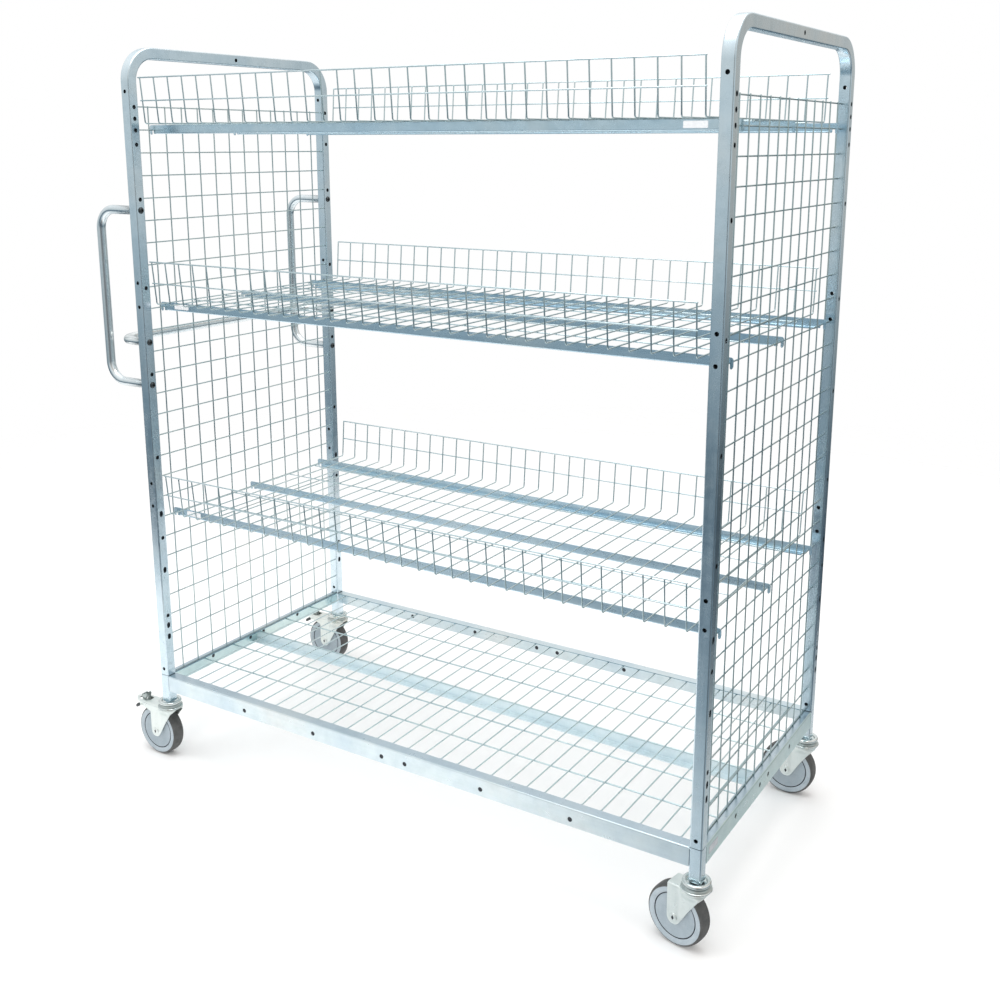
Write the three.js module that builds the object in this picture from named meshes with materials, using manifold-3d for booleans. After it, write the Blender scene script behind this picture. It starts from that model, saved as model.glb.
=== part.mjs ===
// Wire-mesh shelf trolley: two mesh gables on a wire deck, three lift-out wire shelves,
// handles on the left gable and four swivel casters. Millimetres, +Z up, X along the
// length (handles at -X), Y across (front at -Y). The origin is at the floor, under the
// middle of the whole trolley.
import * as THREE from "three";
import { mergeVertices } from "three/addons/utils/BufferGeometryUtils.js";
import Module from "manifold-3d";

const wasm = await Module();
wasm.setup();

// ---- driving dimensions ----
const POST = 25; // square tube of the gable frames
const WALL = 2; // its wall
const SPAN_X = 1396; // left post centre to right post centre
const SPAN_Y = 647; // front post centre to rear post centre
const DEPTH = SPAN_Y + POST; // over the posts
const TOP = 1698; // top face of the gable frames
const BEND = 62.5; // centreline radius of the gable frame's top corners
const GAP = 0.3; // clearance between neighbouring pieces
const WIRE = 3; // mesh wire
const LAYER = WIRE + 0.2; // pitch of two crossing wire layers
const PITCH = 50; // gable mesh pitch
const RAIL_TOP = 218; // top face of the base frame
const RAIL_H = 39; // height of the base angles
const FLANGE = 25; // flange of the long base angles
const SIDE_FLANGE = 21; // flange of the end base angles
const SHEET = 2; // thickness of all angle profiles
const CASTER_H = 155; // floor to leg
const WHEEL_R = 62.5;
const RACEWAY_R = 30;
const TRAIL = 36; // axle behind the swivel axis
const RIB_PITCH = 42.4; // cross wires of deck and baskets
const RIBS = 32; // cross wires on each
const SHELF_WIRES = [620, 1120, 1520]; // gable wires that carry the shelves
const BAR_Y = [70, 334, 602]; // shelf bar webs
const BAR_UP = 11; // bar top above its gable wire
const FLOOR_UP = 13.5; // basket floor wires' centre above the gable wire
const BAR_DOWN = 8; // bar bottom below its gable wire
const FENCE_H = 97; // basket fence above the basket floor
const FENCE_LEAN = 8.5; // fence top further out than its foot
const FENCE_FOOT = 16.5; // fence foot behind the posts' front faces
const TUBE_R = 10; // handle tube
const LOOP_Z = [944, 1344]; // D-handle ends
const LOOP_REACH = 124; // D-handle tube centre, out from the post centre
const PUSH_Z = 1044; // push bar height
const PUSH_REACH = 88; // push bar tube centre, out from the post centre
const HANDLE_BEND = 45; // centreline radius of the handle bends
const FRONT_RIGHT_YAW = -10; // swivel position of the front right caster, degrees

// posts run Y 0..25 at the front in this working frame; the trolley is then centred
const MIN_X = -LOOP_REACH - TUBE_R;
const MAX_X = SPAN_X + RACEWAY_R;
const SHIFT_X = -(MIN_X + MAX_X) / 2;
const SHIFT_Y = -DEPTH / 2;
const MESH_IN = 4; // gable mesh layer, inward from the post centre

// ---- materials ----
const zinc = { color: 0xc9d4d8, roughness: 0.34, metalness: 0.9 };
const brightZinc = { color: 0xd8dfe1, roughness: 0.26, metalness: 0.95 };
const wireZinc = { color: 0xa9b8bb, roughness: 0.4, metalness: 0.85 };
const wheelGrey = { color: 0x9aa5b1, roughness: 0.55, metalness: 0.0 };
const tyreGrey = { color: 0x5b5654, roughness: 0.8, metalness: 0.0 };
const leverDark = { color: 0x55595b, roughness: 0.5, metalness: 0.6 };

const group = new THREE.Group();
const frame = new THREE.Group();
frame.position.set(SHIFT_X, SHIFT_Y, 0);
group.add(frame);

// ---- solids ----
function clean(geometry) {
  const g = geometry.index ? geometry.clone() : geometry;
  for (const key of Object.keys(g.attributes)) {
    if (key !== "position") g.deleteAttribute(key);
  }
  const merged = mergeVertices(g, 1e-3);
  const p = merged.attributes.position.array;
  const source = merged.index.array;
  const keep = [];
  let volume = 0;
  for (let i = 0; i < source.length; i += 3) {
    const [a, b, c] = [source[i], source[i + 1], source[i + 2]];
    if (a === b || b === c || c === a) continue;
    keep.push(a, b, c);
    const u = new THREE.Vector3(p[3 * a], p[3 * a + 1], p[3 * a + 2]);
    const v = new THREE.Vector3(p[3 * b], p[3 * b + 1], p[3 * b + 2]);
    const w = new THREE.Vector3(p[3 * c], p[3 * c + 1], p[3 * c + 2]);
    volume += u.dot(v.cross(w));
  }
  if (volume < 0) keep.reverse();
  return { points: new Float32Array(p), triangles: new Uint32Array(keep) };
}

function solid(geometry) {
  const { points, triangles } = clean(geometry);
  return new wasm.Manifold(
    new wasm.Mesh({ numProp: 3, vertProperties: points, triVerts: triangles })
  );
}

function geometryOf(shape) {
  const mesh = shape.getMesh();
  const geometry = new THREE.BufferGeometry();
  geometry.setAttribute("position", new THREE.BufferAttribute(mesh.vertProperties, 3));
  geometry.setIndex(new THREE.BufferAttribute(mesh.triVerts, 1));
  return geometry;
}

function join(solids) {
  let all = solids[0];
  for (const next of solids.slice(1)) {
    all = all.add(next);
  }
  return all;
}

function box(x0, x1, y0, y1, z0, z1) {
  const geometry = new THREE.BoxGeometry(x1 - x0, y1 - y0, z1 - z0);
  geometry.translate((x0 + x1) / 2, (y0 + y1) / 2, (z0 + z1) / 2);
  return solid(geometry);
}

function rod(radius, length, sides, axis, at) {
  const geometry = new THREE.CylinderGeometry(radius, radius, length, sides);
  if (axis === "x") geometry.rotateZ(Math.PI / 2);
  if (axis === "z") geometry.rotateX(Math.PI / 2);
  geometry.translate(...at);
  return solid(geometry);
}

// outline given as [a, b] pairs, extruded along X (outline in YZ) or Y (outline in XZ)
function plate(outline, axis, from, thickness) {
  const shape = new THREE.Shape(outline.map(([a, b]) => new THREE.Vector2(a, b)));
  const geometry = new THREE.ExtrudeGeometry(shape, { depth: thickness, bevelEnabled: false });
  const basis = new THREE.Matrix4();
  const [x, y, z] = [new THREE.Vector3(1, 0, 0), new THREE.Vector3(0, 1, 0), new THREE.Vector3(0, 0, 1)];
  if (axis === "x") basis.makeBasis(y, z, x);
  if (axis === "y") basis.makeBasis(x, z, y);
  geometry.applyMatrix4(basis);
  if (axis === "x") geometry.translate(from, 0, 0);
  if (axis === "y") geometry.translate(0, from, 0);
  return solid(geometry);
}

// a path that an extrusion follows station by station
class StationCurve extends THREE.Curve {
  constructor(stations) {
    super();
    this.stations = stations;
  }
  station(u) {
    return this.stations[Math.round(u * (this.stations.length - 1))];
  }
  getPoint(t) {
    return this.station(t).point.clone();
  }
  getPointAt(u) {
    return this.station(u).point.clone();
  }
  getTangentAt(u) {
    return this.station(u).tangent.clone();
  }
}

// stations along straight runs joined by round bends of one radius
function bentPath(corners, radius, bendSteps) {
  const points = corners.map((c) => new THREE.Vector3(...c));
  const stations = [];
  const first = points[1].clone().sub(points[0]).normalize();
  stations.push({ point: points[0], tangent: first });
  for (let i = 1; i < points.length - 1; i += 1) {
    const into = points[i].clone().sub(points[i - 1]).normalize();
    const out = points[i + 1].clone().sub(points[i]).normalize();
    const centre = points[i].clone().addScaledVector(into, -radius).addScaledVector(out, radius);
    for (let k = 0; k <= bendSteps; k += 1) {
      const a = (k / bendSteps) * (Math.PI / 2);
      const point = centre.clone();
      point.addScaledVector(out, -radius * Math.cos(a)).addScaledVector(into, radius * Math.sin(a));
      const tangent = into.clone().multiplyScalar(Math.cos(a)).addScaledVector(out, Math.sin(a));
      stations.push({ point, tangent });
    }
  }
  const last = points[points.length - 1];
  const end = last.clone().sub(points[points.length - 2]).normalize();
  stations.push({ point: last, tangent: end });
  return new StationCurve(stations);
}

function along(path, section) {
  const steps = path.stations.length - 1;
  return solid(new THREE.ExtrudeGeometry(section, { steps, extrudePath: path }));
}

function circle(radius, sides) {
  const shape = new THREE.Shape();
  for (let i = 0; i < sides; i += 1) {
    const a = (i / sides) * Math.PI * 2;
    const [x, y] = [radius * Math.cos(a), radius * Math.sin(a)];
    if (i === 0) shape.moveTo(x, y);
    else shape.lineTo(x, y);
  }
  shape.closePath();
  return shape;
}

function square(side) {
  const h = side / 2;
  return [
    new THREE.Vector2(-h, -h),
    new THREE.Vector2(h, -h),
    new THREE.Vector2(h, h),
    new THREE.Vector2(-h, h),
  ];
}

// profile of [radius, height] pairs turned about Y, or about Z
function turned(profile, segments, axis) {
  const closed = profile[0][0] > 0;
  const ring = closed ? [...profile, profile[0]] : profile;
  const geometry = new THREE.LatheGeometry(
    ring.map(([r, h]) => new THREE.Vector2(r, h)),
    segments
  );
  if (axis === "z") geometry.rotateX(Math.PI / 2);
  return solid(geometry);
}

function place(name, shape, look, parent = frame) {
  const mesh = new THREE.Mesh(geometryOf(shape), new THREE.MeshStandardMaterial(look));
  mesh.name = name;
  parent.add(mesh);
  return mesh;
}

// ---- gable frames: one square tube bent to an upside-down U, open at the feet ----
const postX = { left: 0, right: SPAN_X };
const postY = { front: POST / 2, rear: DEPTH - POST / 2 };
const footZ = RAIL_TOP + GAP;
const tubeMid = TOP - POST / 2;

for (const side of ["left", "right"]) {
  const x = postX[side];
  const path = bentPath(
    [
      [x, postY.front, footZ],
      [x, postY.front, tubeMid],
      [x, postY.rear, tubeMid],
      [x, postY.rear, footZ],
    ],
    BEND,
    5
  );
  const section = new THREE.Shape(square(POST));
  section.holes.push(new THREE.Path(square(POST - 2 * WALL)));
  let tube = along(path, section);
  if (side === "left") {
    for (const y of [postY.front, postY.rear]) {
      for (const z of [...LOOP_Z, PUSH_Z]) {
        tube = tube.subtract(rod(4.4, POST + 2, 8, "x", [x, y, z]));
      }
    }
  }
  place(`${side}_gable_frame`, tube, zinc);
}

// ---- gable mesh: level wires inside, upright wires outside, welded at the edges ----
const levels = [];
for (let z = RAIL_TOP + 2; z <= 1570; z += PITCH) {
  levels.push(z);
}
const uprights = [];
for (let k = 0; k < 12; k += 1) {
  uprights.push(DEPTH / 2 + (k - 5.5) * PITCH);
}
const w2 = WIRE / 2;
const meshY = [POST + GAP, DEPTH - POST - GAP];

for (const side of ["left", "right"]) {
  const out = side === "left" ? -1 : 1;
  const xl = postX[side] - out * MESH_IN;
  const span = (near, far) => [Math.min(xl + out * near, xl + out * far), Math.max(xl + out * near, xl + out * far)];
  const wires = [];
  levels.forEach((z, k) => {
    const edge = k === 0 || k === levels.length - 1;
    const [x0, x1] = span(-w2, edge ? w2 + 0.7 : w2);
    wires.push(box(x0, x1, meshY[0], meshY[1], z - w2, z + w2));
  });
  const [bottom, top] = [levels[0] - w2, levels[levels.length - 1] + w2 + 2];
  uprights.forEach((y, k) => {
    const [x0, x1] = span(LAYER - w2, LAYER + w2);
    wires.push(box(x0, x1, y - w2, y + w2, bottom, top));
    if (k === 0 || k === uprights.length - 1) {
      const spots = levels.slice(1, -1).filter((z, i) => i % 2 === (k === 0 ? 0 : 1));
      for (const z of spots) {
        const [n0, n1] = span(w2 - 0.5, LAYER - w2 + 0.5);
        wires.push(box(n0, n1, y - 1, y + 1, z - 1, z + 1));
      }
    }
  });
  place(`${side}_gable_mesh`, join(wires), wireZinc);
}

// ---- base frame: four angle rails between four legs ----
const railX = [POST / 2 + GAP, SPAN_X - POST / 2 - GAP];
const railZ = [RAIL_TOP - RAIL_H, RAIL_TOP];

function angleOutline(outer, inward, flange) {
  const s = inward;
  return [
    [outer, railZ[0]],
    [outer, railZ[1]],
    [outer + s * flange, railZ[1]],
    [outer + s * flange, railZ[1] - SHEET],
    [outer + s * SHEET, railZ[1] - SHEET],
    [outer + s * SHEET, railZ[0]],
  ];
}

const railLength = railX[1] - railX[0];
place("front_rail", plate(angleOutline(0, 1, FLANGE), "x", railX[0], railLength), zinc);
place("rear_rail", plate(angleOutline(DEPTH, -1, FLANGE), "x", railX[0], railLength), zinc);
const endLength = meshY[1] - meshY[0];
const leftOutline = angleOutline(-POST / 2, 1, SIDE_FLANGE);
const rightOutline = angleOutline(SPAN_X + POST / 2, -1, SIDE_FLANGE);
place("left_rail", plate(leftOutline, "y", meshY[0], endLength), zinc);
place("right_rail", plate(rightOutline, "y", meshY[0], endLength), zinc);

// ---- legs: a stub under each upright with a spigot up into it and a bore for the caster ----
const SPIGOT = POST - 2 * WALL - 2 * GAP;
const PEG_R = 5.7;
const corners = [
  ["front_left", postX.left, postY.front, 0, true],
  ["front_right", postX.right, postY.front, FRONT_RIGHT_YAW, false],
  ["rear_left", postX.left, postY.rear, 0, true],
  ["rear_right", postX.right, postY.rear, 0, false],
];
for (const [name, x, y] of corners) {
  const h = POST / 2;
  const s = SPIGOT / 2;
  const stub = box(x - h, x + h, y - h, y + h, CASTER_H, RAIL_TOP);
  const spigot = box(x - s, x + s, y - s, y + s, RAIL_TOP - 1, RAIL_TOP + 82);
  const bore = rod(PEG_R + GAP, 52, 10, "z", [x, y, CASTER_H + 24]);
  place(`${name}_leg`, stub.add(spigot).subtract(bore), zinc);
}

// ---- deck: cross wires under the flanges, long wires under them, and one stiffener ----
const ribs = [];
for (let k = 0; k < RIBS; k += 1) {
  ribs.push(SPAN_X / 2 + (k - (RIBS - 1) / 2) * RIB_PITCH);
}
const longY = [-203, -101.5, 0, 101.5, 203].map((d) => DEPTH / 2 + d);
const deckZ = RAIL_TOP - SHEET - GAP - w2;
const deck = [];
ribs.forEach((x, k) => {
  const drop = k === 0 || k === RIBS - 1 ? 0.7 : 0;
  deck.push(box(x - w2, x + w2, 4, DEPTH - 4, deckZ - w2 - drop, deckZ + w2));
});
longY.forEach((y, k) => {
  const rise = k === 0 ? 0.7 : 0;
  const z = deckZ - LAYER;
  deck.push(box(-9.5, SPAN_X + 9.5, y - w2, y + w2, z - w2, z + w2 + rise));
});
place("deck_mesh", join(deck), wireZinc);

const stiffTop = deckZ - LAYER - w2 - GAP;
const stiffener = [
  [DEPTH / 2 - 1, stiffTop],
  [DEPTH / 2 + 1, stiffTop],
  [DEPTH / 2 + 1, stiffTop - 24],
  [DEPTH / 2 - 19, stiffTop - 24],
  [DEPTH / 2 - 19, stiffTop - 22],
  [DEPTH / 2 - 1, stiffTop - 22],
];
place("deck_stiffener", plate(stiffener, "x", -9.5, SPAN_X + 19), zinc);

// ---- shelves: a wire basket on three hooked bars ----
const shelfNames = ["lower", "middle", "upper"];

function basket(wireZ) {
  const z = wireZ + FLOOR_UP;
  const top = z + FENCE_H;
  const foot = [FENCE_FOOT, DEPTH - FENCE_FOOT];
  const head = [FENCE_FOOT - FENCE_LEAN, DEPTH - FENCE_FOOT + FENCE_LEAN];
  const wires = [];
  ribs.forEach((x, k) => {
    const extra = k === 0 || k === RIBS - 1 ? 0.7 : 0;
    const outer = w2 + extra;
    wires.push(
      plate(
        [
          [head[0] - outer, top],
          [foot[0] - outer, z - outer],
          [foot[1] + outer, z - outer],
          [head[1] + outer, top],
          [head[1] - w2, top],
          [foot[1] - w2, z + w2],
          [foot[0] + w2, z + w2],
          [head[0] + w2, top],
        ],
        "x",
        x - w2,
        WIRE
      )
    );
  });
  const x0 = ribs[0] - 4;
  const x1 = ribs[RIBS - 1] + 4;
  for (const [y, s] of [[head[0], -1], [head[1], 1]]) {
    wires.push(box(x0, x1, y - 2.4, y + 2.4, top - 1, top + 2.4));
    const mid = (y + (s < 0 ? foot[0] : foot[1])) / 2 + s * (LAYER + 0.25);
    wires.push(box(x0, x1, mid - w2, mid + w2, z + FENCE_H / 2 - w2, z + FENCE_H / 2 + w2));
  }
  for (const y of longY.filter((v) => v !== DEPTH / 2)) {
    wires.push(box(x0, x1, y - w2, y + w2, z - LAYER - w2, z - LAYER + w2));
  }
  return join(wires);
}

// full-height web with a notch at each end that drops over the gable wire
function barWeb(wireZ) {
  const [z0, z1] = [wireZ - BAR_DOWN, wireZ + BAR_UP];
  const roof = wireZ + w2 + GAP;
  const hookEnd = (x, s) => [
    [x + s * 12, z0],
    [x + s * (MESH_IN + 3), z0],
    [x + s * (MESH_IN + 3), roof],
    [x + s * (MESH_IN - 3), roof],
    [x + s * (MESH_IN - 3), z0 - 2],
    [x + s * (MESH_IN - 5), z0 - 2],
    [x + s * (MESH_IN - 9), z0 + 3],
    [x + s * (MESH_IN - 9), z1 - 3],
    [x + s * (MESH_IN - 6), z1],
  ];
  const left = hookEnd(0, 1);
  const right = hookEnd(SPAN_X, -1).reverse();
  return [...left, ...right];
}

SHELF_WIRES.forEach((wireZ, k) => {
  const name = shelfNames[k];
  place(`${name}_basket`, basket(wireZ), wireZinc);
  ["front", "middle", "rear"].forEach((where, i) => {
    const y = BAR_Y[i];
    const web = plate(barWeb(wireZ), "y", y - SHEET / 2, SHEET);
    const inward = where === "rear" ? -1 : 1;
    const [f0, f1] = inward > 0 ? [y, y + 18] : [y - 18, y];
    const z0 = wireZ - BAR_DOWN;
    const flange = box(14, SPAN_X - 14, f0, f1, z0, z0 + SHEET);
    place(`${name}_${where}_bar`, web.add(flange), zinc);
  });
});

// ---- handles on the left gable ----
const endX = -POST / 2 - GAP;
const roundSection = circle(TUBE_R, 8);

function handle(name, corners3, bores) {
  let tube = along(bentPath(corners3, HANDLE_BEND, 4), roundSection);
  for (const [y, z] of bores) {
    tube = tube.subtract(rod(4.4, 40, 8, "x", [endX - 4, y, z]));
  }
  place(name, tube, brightZinc);
}

for (const where of ["front", "rear"]) {
  const y = postY[where];
  handle(
    `${where}_loop_handle`,
    [
      [endX, y, LOOP_Z[0]],
      [-LOOP_REACH, y, LOOP_Z[0]],
      [-LOOP_REACH, y, LOOP_Z[1]],
      [endX, y, LOOP_Z[1]],
    ],
    [
      [y, LOOP_Z[0]],
      [y, LOOP_Z[1]],
    ]
  );
}
handle(
  "push_bar",
  [
    [endX, postY.front, PUSH_Z],
    [-PUSH_REACH, postY.front, PUSH_Z],
    [-PUSH_REACH, postY.rear, PUSH_Z],
    [endX, postY.rear, PUSH_Z],
  ],
  [
    [postY.front, PUSH_Z],
    [postY.rear, PUSH_Z],
  ]
);

// fixing bolts, from the inner face of the post into the handle's end
for (const where of ["front", "rear"]) {
  const y = postY[where];
  const spots = { lower: LOOP_Z[0], push: PUSH_Z, upper: LOOP_Z[1] };
  for (const [label, z] of Object.entries(spots)) {
    const face = POST / 2 + GAP;
    const head = rod(7, 5, 8, "x", [face + 2.5, y, z]);
    const shank = rod(3.9, 44, 8, "x", [face - 21, y, z]);
    place(`${where}_${label}_handle_bolt`, head.add(shank), brightZinc);
  }
}

// ---- casters ----
const FORK_IN = 18; // inner face of a fork plate
const FORK_OUT = 20.5; // outer face
const CROWN = [129.5, 132]; // crown plate
const PIN = [-84, 122]; // brake pedal pin, X and Z from the swivel axis
const SHELF_END = -112; // rear end of a braked fork's crown
const AXLE = [-TRAIL, WHEEL_R];

// raceway, cap and peg, fixed in the leg; the collar under the crown holds the fork
const stemProfile = [
  [0, 125.8],
  [11, 125.8],
  [12, 129.2],
  [7, 129.2],
  [7, 132.3],
  [RACEWAY_R, 132.3],
  [RACEWAY_R, 137],
  [26, 138],
  [26, 148],
  [21, 152],
  [16, 154.7],
  [PEG_R, 154.7],
  [PEG_R, 198],
  [0, 198],
];

function forkPlate() {
  const [ax, az] = AXLE;
  const outline = [
    [-52, CROWN[1]],
    [26, CROWN[1]],
    [26, 125],
    [-20, 58],
    [-27, 50],
    [ax, 46.5],
    [-45, 50],
    [-49, 58],
    [-52, 100],
  ];
  const plateLeft = plate(outline, "y", -FORK_OUT, FORK_OUT - FORK_IN);
  const plateRight = plate(outline, "y", FORK_IN, FORK_OUT - FORK_IN);
  const crown = box(-52, 26, -FORK_OUT, FORK_OUT, CROWN[0], CROWN[1]);
  const hole = rod(7.4, 10, 10, "z", [0, 0, CROWN[0]]);
  const axleHole = rod(4.4, 60, 10, "y", [ax, 0, az]);
  return join([plateLeft, plateRight, crown]).subtract(hole).subtract(axleHole);
}

// the crown of a braked fork runs on over the wheel, with an ear down each side and a slot
function brakeShelf(fork) {
  const [px, pz] = PIN;
  const ear = [
    [-51, CROWN[1] - 1],
    [-51, 108],
    [-62, 113],
    [px - 8, pz - 6],
    [SHELF_END, 127],
    [SHELF_END, CROWN[1] - 1],
  ];
  const near = plate(ear, "y", -FORK_OUT, FORK_OUT - FORK_IN);
  const far = plate(ear, "y", FORK_IN, FORK_OUT - FORK_IN);
  const shelf = box(SHELF_END, -50, -FORK_OUT, FORK_OUT, CROWN[0], CROWN[1]);
  const slot = box(px - 19, px + 19, -12, 12, CROWN[0] - 1, CROWN[1] + 1);
  const pin = rod(2.4, 2 * FORK_OUT + 2, 8, "y", [px, 0, pz]);
  return join([fork, near, far, shelf.subtract(slot), pin]);
}

// a lever below the shelf with an upright tab that comes up through the slot
function brakePedal() {
  const [px, pz] = PIN;
  const outline = [
    [px + 4, pz + 2],
    [px + 12, pz + 25],
    [px + 8, pz + 29],
    [px - 9, pz + 23],
    [px - 11, pz + 18],
    [px - 4, pz + 3],
    [px - 29, pz - 14],
    [px - 31, pz - 19],
    [px - 3, pz - 4],
  ];
  const barrel = rod(5, 2 * FORK_IN - 2, 12, "y", [px, 0, pz]);
  const lever = plate(outline, "y", -9, 18);
  const bore = rod(2.8, 60, 8, "y", [px, 0, pz]);
  return barrel.add(lever).subtract(bore);
}

const hubProfile = [
  [4.5, -17.5],
  [16, -17.5],
  [54, -13],
  [54, 13],
  [16, 17.5],
  [4.5, 17.5],
];
const tyreProfile = [
  [54.3, -13.5],
  [58, -16],
  [WHEEL_R, -11],
  [WHEEL_R, 11],
  [58, 16],
  [54.3, 13.5],
];
const axleProfile = [
  [0, -25],
  [7, -25],
  [7, -FORK_OUT - GAP],
  [4, -FORK_OUT - GAP],
  [4, FORK_OUT + GAP],
  [7, FORK_OUT + GAP],
  [7, 25],
  [0, 25],
];

for (const [name, x, y, yaw, braked] of corners) {
  const caster = new THREE.Group();
  caster.position.set(x, y, 0);
  frame.add(caster);
  place(`${name}_caster_raceway`, turned(stemProfile, 12, "z"), brightZinc, caster);

  const swivel = new THREE.Group();
  swivel.rotation.z = THREE.MathUtils.degToRad(yaw);
  caster.add(swivel);
  const fork = braked ? brakeShelf(forkPlate()) : forkPlate();
  place(`${name}_caster_fork`, fork, brightZinc, swivel);
  if (braked) {
    place(`${name}_brake_pedal`, brakePedal(), leverDark, swivel);
  }

  const wheel = new THREE.Group();
  wheel.position.set(AXLE[0], 0, AXLE[1]);
  swivel.add(wheel);
  place(`${name}_caster_axle`, turned(axleProfile, 10, "y"), brightZinc, wheel);
  place(`${name}_wheel_hub`, turned(hubProfile, 24, "y"), wheelGrey, wheel);
  place(`${name}_wheel_tyre`, turned(tyreProfile, 24, "y"), tyreGrey, wheel);
}

export default group;
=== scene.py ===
"""Visual model of the wire-mesh shelf trolley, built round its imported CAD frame.

Shapes are laid out in "part" millimetres: X from the left posts' centre, Y from the front
face of the front posts, Z from the floor. make() moves them into the row frame in metres.
"""

import math

import bmesh
import bpy
from mathutils import Matrix, Vector


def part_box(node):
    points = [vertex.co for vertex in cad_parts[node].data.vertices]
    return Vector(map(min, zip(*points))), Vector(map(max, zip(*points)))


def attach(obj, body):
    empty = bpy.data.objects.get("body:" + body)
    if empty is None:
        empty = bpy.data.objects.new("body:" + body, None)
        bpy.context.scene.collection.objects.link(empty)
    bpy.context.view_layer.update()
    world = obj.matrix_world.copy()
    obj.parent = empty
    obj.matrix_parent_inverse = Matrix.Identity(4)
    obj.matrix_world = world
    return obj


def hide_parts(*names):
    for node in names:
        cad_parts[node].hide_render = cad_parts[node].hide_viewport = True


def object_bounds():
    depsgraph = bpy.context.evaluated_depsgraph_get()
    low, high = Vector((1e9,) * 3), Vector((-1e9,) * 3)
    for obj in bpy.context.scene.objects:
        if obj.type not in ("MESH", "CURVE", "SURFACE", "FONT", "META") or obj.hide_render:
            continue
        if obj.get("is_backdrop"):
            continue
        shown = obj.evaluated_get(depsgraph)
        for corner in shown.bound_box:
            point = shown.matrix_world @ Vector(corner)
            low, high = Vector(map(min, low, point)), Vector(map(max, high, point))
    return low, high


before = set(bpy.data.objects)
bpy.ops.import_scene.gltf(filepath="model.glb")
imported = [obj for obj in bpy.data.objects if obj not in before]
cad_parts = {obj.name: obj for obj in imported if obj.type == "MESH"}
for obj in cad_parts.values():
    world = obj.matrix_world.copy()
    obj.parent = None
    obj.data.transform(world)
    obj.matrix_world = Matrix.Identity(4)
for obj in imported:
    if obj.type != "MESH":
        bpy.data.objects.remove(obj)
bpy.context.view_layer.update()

# ---------------------------------------------------------------- sizes, in mm
MM = 1000.0  # mm in a metre
left_lo, left_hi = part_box("left_gable_frame")
right_lo, right_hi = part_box("right_gable_frame")
ORIGIN = Vector(((left_lo.x + left_hi.x) / 2, left_lo.y, 0.0))
SPAN = ((right_lo.x + right_hi.x) / 2 - ORIGIN.x) * MM
DEPTH = (left_hi.y - left_lo.y) * MM
TOP = left_hi.z * MM
POST = (left_hi.x - left_lo.x) * MM
HALF = POST / 2
RAIL_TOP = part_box("front_rail")[1].z * MM
RAIL_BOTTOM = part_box("front_rail")[0].z * MM
WALL = 2.0  # wall of the square tube
JOINT = 1.6  # gap between a gable post and its leg
BEND = 62.5  # centreline radius of a gable frame's top corners
WIRE_R = 1.5
PITCH = 50.0  # gable mesh
RIBS = 32  # cross wires of the deck and of each basket
RIB_PITCH = 42.4
SHELVES = {"lower": 620.0, "middle": 1120.0, "upper": 1520.0}  # gable wires that carry them
FLOOR_UP = 13.5  # basket floor above its gable wire
FENCE_H = 97.0  # basket fence above the basket floor
FENCE_FOOT = 16.5  # its foot behind the posts' front faces
FENCE_LEAN = 8.5  # its top further out than its foot
BAR_Y = {"front": 70.0, "middle": 334.0, "rear": 602.0}
BAR_UP, BAR_DOWN = 11.0, 8.0  # shelf bar above and below its gable wire
SHEET = 2.0  # thickness of every angle
LONG_Y = [DEPTH / 2 + d for d in (-203.0, -101.5, 0.0, 101.5, 203.0)]
MESH_IN = 4.0  # gable mesh inward from the posts' centre
TUBE_R = 10.0  # handle tube
LOOP_Z = (944.0, 1344.0)
LOOP_REACH = 124.0
PUSH_Z = 1044.0
PUSH_REACH = 88.0
HANDLE_BEND = 45.0
POST_X = {"left": 0.0, "right": SPAN}
POST_Y = {"front": HALF, "rear": DEPTH - HALF}
X, Y, Z = Vector((1, 0, 0)), Vector((0, 1, 0)), Vector((0, 0, 1))


# ---------------------------------------------------------------- mesh helpers
class Shape:
    """Vertices, faces and material numbers, in part millimetres."""

    def __init__(self):
        self.verts, self.faces, self.slots = [], [], []

    def add(self, verts, faces, slot=0):
        start = len(self.verts)
        self.verts += [Vector(v) for v in verts]
        self.faces += [tuple(i + start for i in f) for f in faces]
        self.slots += [slot] * len(faces)
        return self

    def join(self, other, matrix=None):
        verts = [matrix @ v for v in other.verts] if matrix else other.verts
        start = len(self.verts)
        self.verts += [v.copy() for v in verts]
        self.faces += [tuple(i + start for i in f) for f in other.faces]
        self.slots += other.slots
        return self


def bent(corners, radius=0.0, steps=6):
    """Stations (point, tangent, scale) along straight runs joined by round bends."""
    pts = [Vector(c) for c in corners]
    out = [(pts[0], (pts[1] - pts[0]).normalized(), 1.0)]
    for i in range(1, len(pts) - 1):
        into = (pts[i] - pts[i - 1]).normalized()
        away = (pts[i + 1] - pts[i]).normalized()
        angle = into.angle(away)
        axis = into.cross(away).normalized()
        start = pts[i] - into * radius * math.tan(angle / 2)
        centre = start + axis.cross(into) * radius
        for k in range(steps + 1):
            turn = Matrix.Rotation(angle * k / steps, 3, axis)
            out.append((centre + turn @ (start - centre), turn @ into, 1.0))
    out.append((pts[-1], (pts[-1] - pts[-2]).normalized(), 1.0))
    return out


def ends(stations, profile):
    """Stations with shaped ends; profile holds (distance from the end, scale) pairs."""
    (p0, t0, _), (p1, t1, _) = stations[0], stations[-1]
    head = [(p0 + t0 * d, t0, s) for d, s in profile]
    tail = [(p1 - t1 * d, t1, s) for d, s in reversed(profile)]
    return head + stations[1:-1] + tail


WIRE_SIDES = 10
DRILL_SIDES = 20
ROUND_END = [(0.0, 0.55), (0.5, 0.88), (1.3, 1.0)]
WELD_END = [(0.0, 1.55), (0.7, 1.4), (1.6, 1.12), (2.8, 1.0)]


def circle(radius, sides):
    return [
        (radius * math.cos(2 * math.pi * k / sides), radius * math.sin(2 * math.pi * k / sides))
        for k in range(sides)
    ]


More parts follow.
